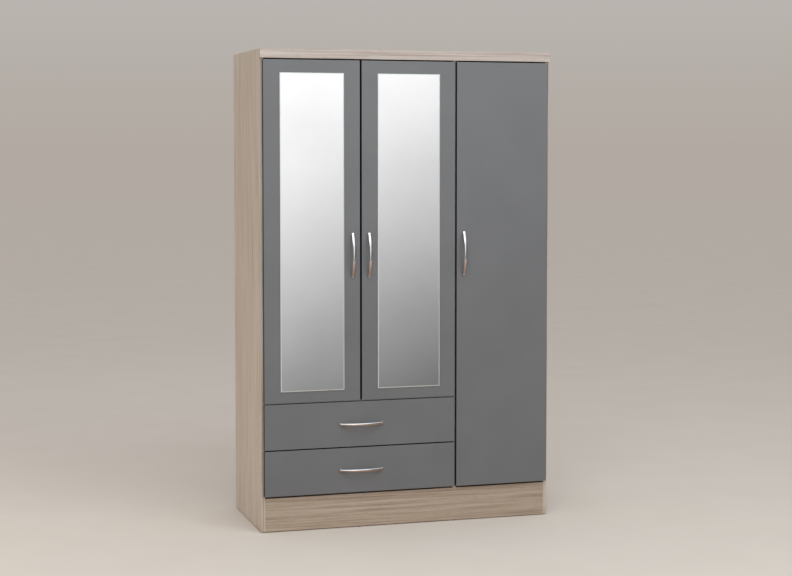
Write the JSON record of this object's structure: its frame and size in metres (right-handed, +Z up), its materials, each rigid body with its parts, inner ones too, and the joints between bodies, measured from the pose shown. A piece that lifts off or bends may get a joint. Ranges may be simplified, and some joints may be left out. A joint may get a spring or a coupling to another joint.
{
  "type": "wardrobe with doors",
  "caption": "Tall free-standing wardrobe: mirrored and plain hinged doors over a pale oak-effect carcass, with drawers under the mirrored doors, hanging rails, hat shelves and bow handles.",
  "frame": {"origin": "on the floor, under the middle of the whole object's box", "axes": "+Z up, +X to the right as a person faces the doors, doors and drawers facing -Y"},
  "size_m": [1.156, 0.529, 1.825],
  "materials": {
    "oak_board": "pale oak-effect foil on chipboard, satin",
    "grey_gloss": "mid-grey gloss foil on chipboard",
    "drawer_board": "pale foil on chipboard, satin",
    "back_board": "thin hardboard, painted inside",
    "mirror_glass": "polished, ground edge",
    "chrome": "polished",
    "rail_chrome": "polished",
    "hinge_steel": "nickel plated",
    "screw_steel": "zinc plated",
    "zinc": "zinc plated",
    "runner_paint": "white epoxy coat, satin",
    "white_plastic": "nylon",
    "glide_plastic": "nylon, nailed on"
  },
  "bodies": {
    "carcass": {"back_joint_strip": "white_plastic", "back_panel_left": "back_board", "back_panel_middle": "back_board", "back_panel_right": "back_board", "bottom_panel": "oak_board", "cabinet_rollers": "white_plastic", "cabinet_runners": "runner_paint", "cam_bolts": "zinc", "cam_locks": "zinc", "centre_divider": "oak_board", "drawer_deck": "oak_board", "floor_glides": "glide_plastic", "hinge_arms": "hinge_steel", "hinge_plates": "hinge_steel", "left_hanging_rail": "rail_chrome", "left_hat_shelf": "oak_board", "left_side_panel": "oak_board", "plinth": "oak_board", "plinth_brace": "oak_board", "rail_sockets": "rail_chrome", "rear_plinth_rail": "oak_board", "right_hanging_rail": "rail_chrome", "right_hat_shelf": "oak_board", "right_side_panel": "oak_board", "shelf_pins": "zinc", "top_fascia": "oak_board", "top_panel": "oak_board", "wall_brackets": "zinc"},
    "left_door": {"left_door_handle": "chrome", "left_door_handle_screws": "screw_steel", "left_door_hinge_cups": "hinge_steel", "left_door_mirror": "mirror_glass", "left_door_panel": "grey_gloss"},
    "middle_door": {"middle_door_handle": "chrome", "middle_door_handle_screws": "screw_steel", "middle_door_hinge_cups": "hinge_steel", "middle_door_mirror": "mirror_glass", "middle_door_panel": "grey_gloss"},
    "right_door": {"right_door_handle": "chrome", "right_door_handle_screws": "screw_steel", "right_door_hinge_cups": "hinge_steel", "right_door_panel": "grey_gloss"},
    "lower_drawer": {"lower_drawer_back": "drawer_board", "lower_drawer_base": "back_board", "lower_drawer_front": "grey_gloss", "lower_drawer_handle": "chrome", "lower_drawer_handle_screws": "screw_steel", "lower_drawer_left_side": "drawer_board", "lower_drawer_right_side": "drawer_board", "lower_drawer_rollers": "white_plastic", "lower_drawer_runners": "runner_paint"},
    "upper_drawer": {"upper_drawer_back": "drawer_board", "upper_drawer_base": "back_board", "upper_drawer_front": "grey_gloss", "upper_drawer_handle": "chrome", "upper_drawer_handle_screws": "screw_steel", "upper_drawer_left_side": "drawer_board", "upper_drawer_right_side": "drawer_board", "upper_drawer_rollers": "white_plastic", "upper_drawer_runners": "runner_paint"}
  },
  "joints": [
    {"name": "left_door_swing", "type": "hinge", "parent": "carcass", "child": "left_door", "pos_m": [-0.569, -0.2375, 1.13875], "axis": [0, 0, -1], "range_deg": [0, 95]},
    {"name": "middle_door_swing", "type": "hinge", "parent": "carcass", "child": "middle_door", "pos_m": [0.188, -0.2375, 1.13875], "axis": [0, 0, 1], "range_deg": [0, 95]},
    {"name": "right_door_swing", "type": "hinge", "parent": "carcass", "child": "right_door", "pos_m": [0.569, -0.2375, 0.96175], "axis": [0, 0, 1], "range_deg": [0, 95]},
    {"name": "lower_drawer_slide", "type": "slide", "parent": "carcass", "child": "lower_drawer", "axis": [0, -1, 0], "range_m": [0, 0.3]},
    {"name": "upper_drawer_slide", "type": "slide", "parent": "carcass", "child": "upper_drawer", "axis": [0, -1, 0], "range_m": [0, 0.3]}
  ]
}
